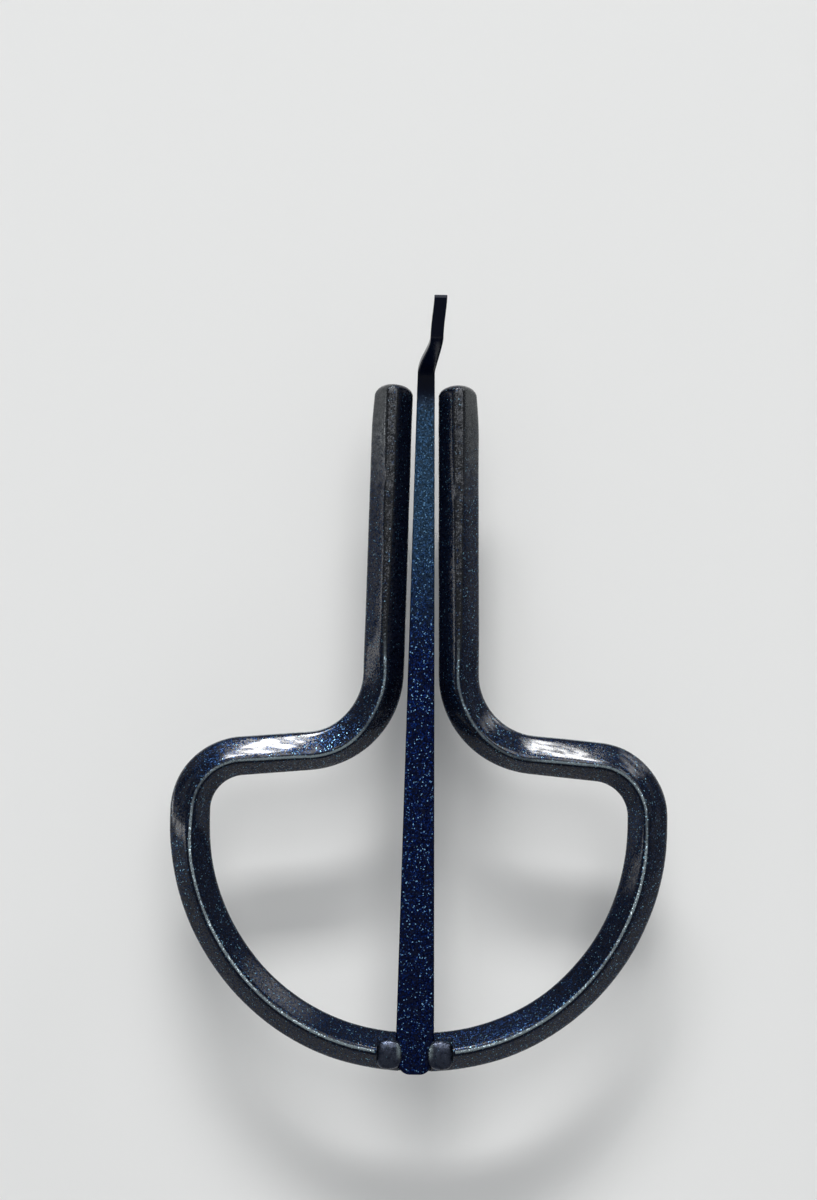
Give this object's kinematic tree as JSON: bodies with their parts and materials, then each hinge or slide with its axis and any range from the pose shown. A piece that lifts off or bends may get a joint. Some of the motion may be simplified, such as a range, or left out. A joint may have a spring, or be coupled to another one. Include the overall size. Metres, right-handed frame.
{
  "type": "jaw harp",
  "caption": "Jaw harp: a square bar bent into a round bow with two long arms, and a spring-steel reed staked in the bow, with a trigger bent up to pluck.",
  "frame": {"origin": "on the back ridge, under the middle of the bow, where the reed is clamped", "axes": "+Y from the bow to the arm tips, +Z out of the front, the way the trigger rises, with the back on the table"},
  "size_m": [0.0506, 0.0775, 0.0139],
  "materials": {
    "frame": "gloss, dark blue metallic flake lacquer",
    "reed": "gloss, dark blue metallic flake lacquer"
  },
  "bodies": {
    "frame": {"frame": "frame", "reed_tail": "reed"},
    "reed": {"reed": "reed"}
  },
  "joints": [
    {"name": "reed_swing", "type": "hinge", "parent": "frame", "child": "reed", "pos_m": [0, 0.00211, 0.00211], "axis": [1, 0, 0], "range_deg": [-8, 8], "stiffness_Nm_per_rad": 0.97}
  ]
}
